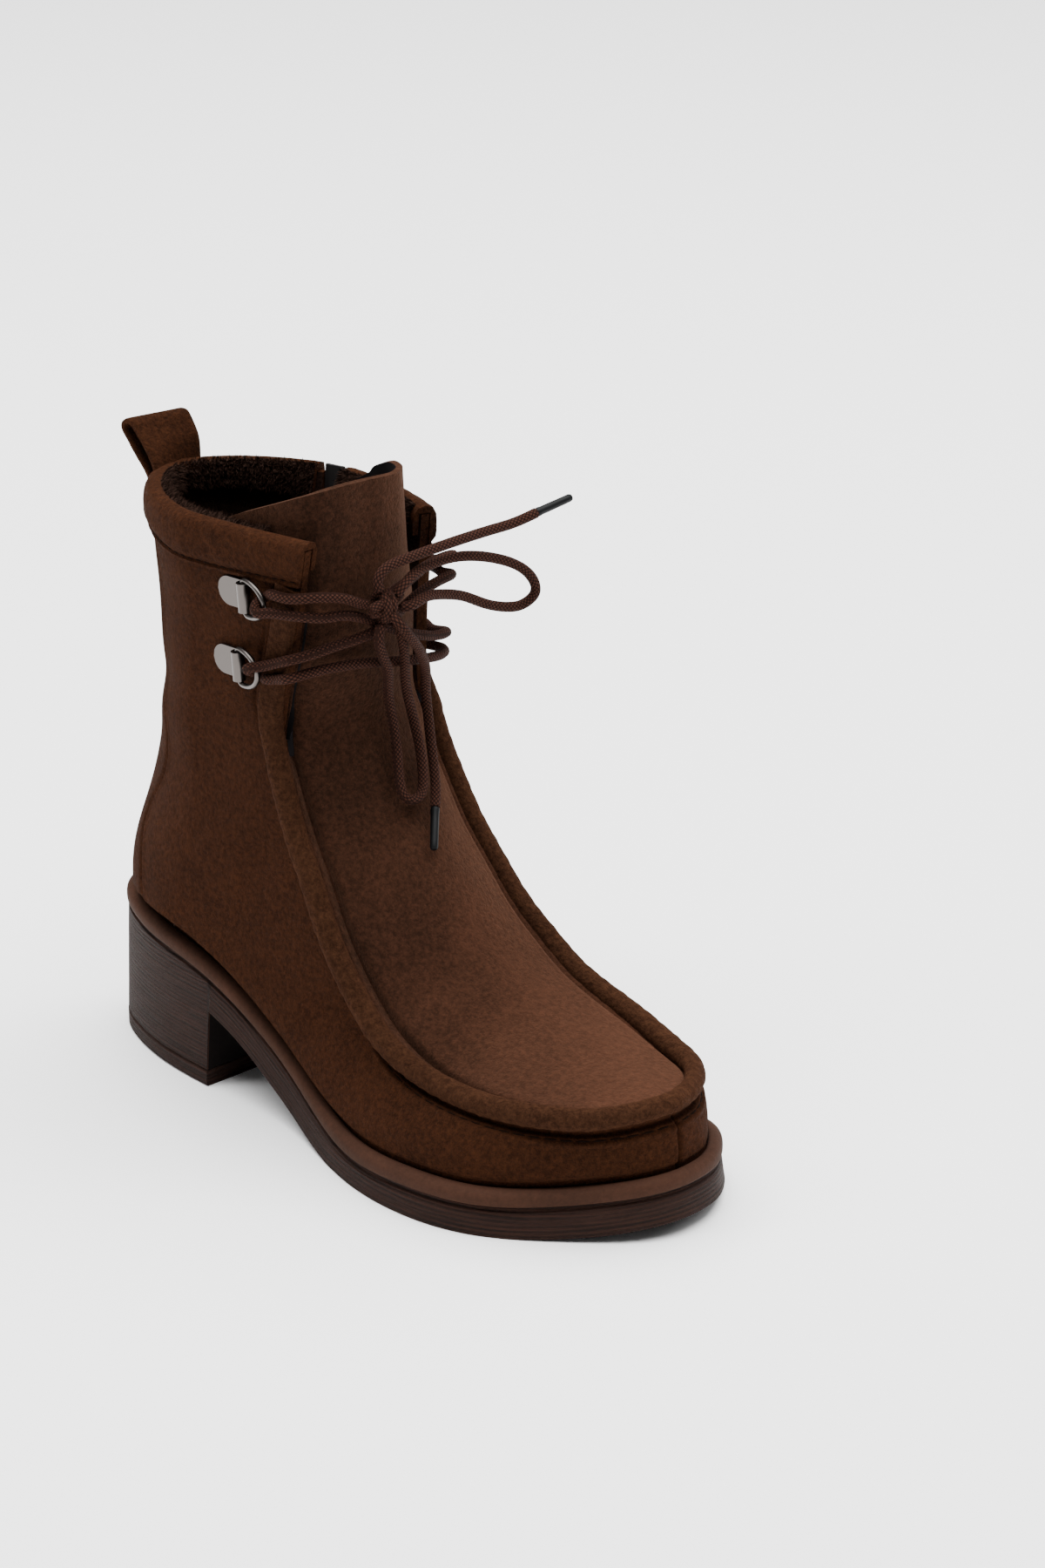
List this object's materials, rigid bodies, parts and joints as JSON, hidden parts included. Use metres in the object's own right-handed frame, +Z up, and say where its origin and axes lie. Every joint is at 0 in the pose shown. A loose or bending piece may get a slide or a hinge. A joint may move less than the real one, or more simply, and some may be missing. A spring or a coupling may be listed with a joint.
{
  "type": "lace up ankle boot",
  "caption": "Right-foot suede ankle boot: moccasin apron, block heel, shell sole, side zip, and a lace tied in a bow through D-rings.",
  "frame": {"origin": "centre of the heel's floor face", "axes": "+X towards the toe, +Y towards the inner side of the foot, +Z up"},
  "size_m": [0.2607, 0.1239, 0.2208],
  "materials": {
    "suede": "dark brown suede with a short nap",
    "lining_fabric": "dark brown pile lining",
    "sole_rubber": "matt brown rubber",
    "welt_rubber": "matt brown rubber, a shade lighter",
    "nickel": "polished nickel plate",
    "gunmetal": "dark plated metal",
    "zip_black": "black woven tape and nylon coil",
    "lace_cord": "braided reddish brown cord",
    "aglet_black": "smooth dark slate plastic"
  },
  "bodies": {
    "boot": {"outsole": "sole_rubber", "heel_top_lift": "sole_rubber", "welt": "welt_rubber", "insole": "lining_fabric", "upper": "suede", "tongue": "suede", "collar_band": "suede", "collar_band_inner": "suede", "pull_loop": "suede", "zip_tape": "zip_black", "zip_coil": "zip_black", "zip_slider": "gunmetal", "ring_tab_outer_upper": "nickel", "ring_tab_outer_lower": "nickel", "ring_tab_inner_upper": "nickel", "ring_tab_inner_lower": "nickel", "d_ring_outer_upper": "nickel", "d_ring_outer_lower": "nickel", "d_ring_inner_upper": "nickel", "d_ring_inner_lower": "nickel", "lace_crossings": "lace_cord", "lace_knot": "lace_cord", "lace_loop_down": "lace_cord", "lace_loop_side": "lace_cord", "lace_end_down": "lace_cord", "lace_end_side": "lace_cord", "aglet_down": "aglet_black", "aglet_side": "aglet_black"},
    "zip_pull": {"zip_pull": "gunmetal"}
  },
  "joints": [
    {"name": "zip_pull_hinge", "type": "hinge", "parent": "boot", "child": "zip_pull", "pos_m": [0.02636, 0.04054, 0.19429], "axis": [0.9755, 0.2199, 0], "range_deg": [-4, 150]}
  ]
}
